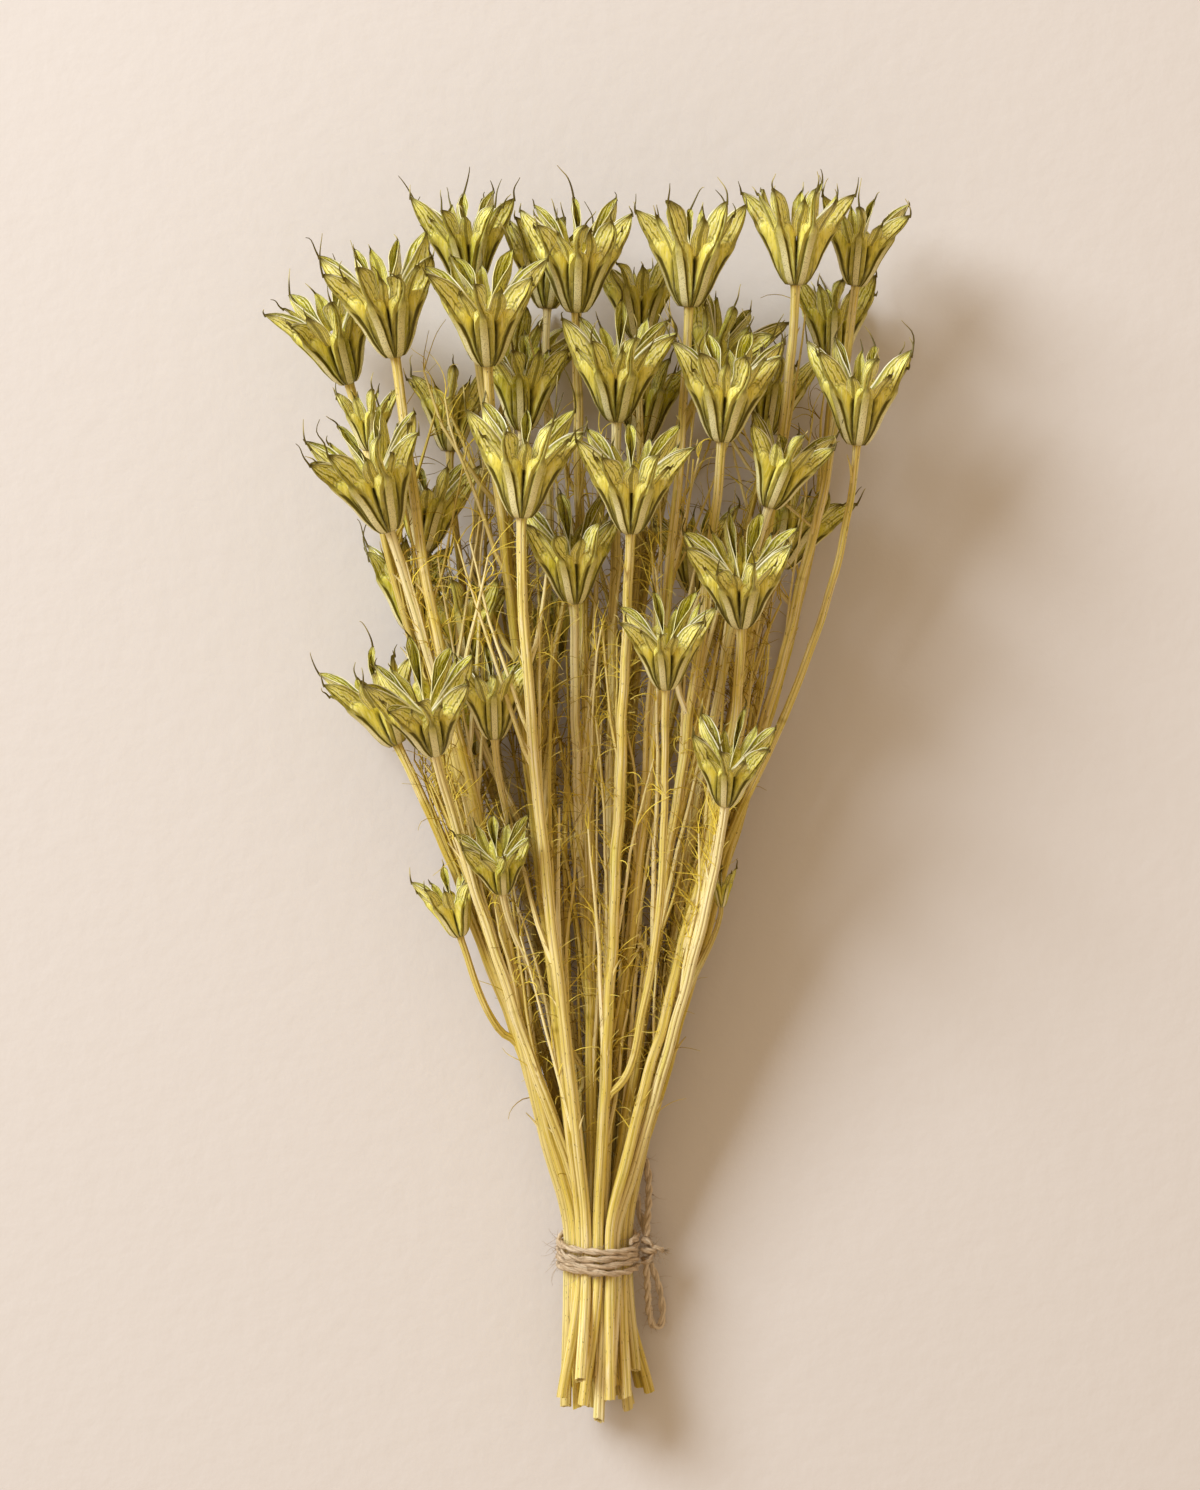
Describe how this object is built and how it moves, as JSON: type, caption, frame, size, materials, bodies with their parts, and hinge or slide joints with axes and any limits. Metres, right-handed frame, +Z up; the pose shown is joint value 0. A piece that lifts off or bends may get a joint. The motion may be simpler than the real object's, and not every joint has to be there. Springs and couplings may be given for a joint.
{
  "type": "nigella seed pod bunch",
  "caption": "Dried nigella stems with flared, star-mouthed seed pods, tied near the cut ends with jute twine and lying on its side.",
  "frame": {"origin": "middle of the bounding box in X and Y, at the height of the surface that the bunch lies on", "axes": "+Y along the stems from the cut ends towards the pods, +Z up from the surface, +X to the right in the picture"},
  "size_m": [0.2328, 0.4454, 0.1112],
  "materials": {
    "dried_plant": "dried plant: gold-green satin pods on straw-yellow ribbed stems",
    "jute_twine": "rough two-ply jute"
  },
  "bodies": {
    "root": {"sprig_01": "dried_plant", "sprig_02": "dried_plant", "sprig_03": "dried_plant", "sprig_04": "dried_plant", "sprig_05": "dried_plant", "sprig_06": "dried_plant", "sprig_07": "dried_plant", "sprig_08": "dried_plant", "sprig_09": "dried_plant", "sprig_10": "dried_plant", "sprig_11": "dried_plant", "sprig_12": "dried_plant", "sprig_13": "dried_plant", "sprig_14": "dried_plant", "sprig_15": "dried_plant", "sprig_16": "dried_plant", "sprig_17": "dried_plant", "sprig_18": "dried_plant", "sprig_19": "dried_plant", "sprig_20": "dried_plant", "sprig_21": "dried_plant", "sprig_22": "dried_plant", "sprig_23": "dried_plant", "sprig_24": "dried_plant", "sprig_25": "dried_plant", "sprig_26": "dried_plant", "sprig_27": "dried_plant", "shoot_01": "dried_plant", "shoot_02": "dried_plant", "shoot_03": "dried_plant", "shoot_04": "dried_plant", "shoot_05": "dried_plant", "shoot_06": "dried_plant", "shoot_07": "dried_plant", "shoot_08": "dried_plant", "shoot_09": "dried_plant", "shoot_10": "dried_plant", "shoot_11": "dried_plant", "shoot_12": "dried_plant", "shoot_13": "dried_plant", "shoot_14": "dried_plant", "shoot_15": "dried_plant", "twine_wrap": "jute_twine", "twine_knot": "jute_twine", "twine_loop_low": "jute_twine", "twine_loop_high": "jute_twine"}
  },
  "joints": []
}
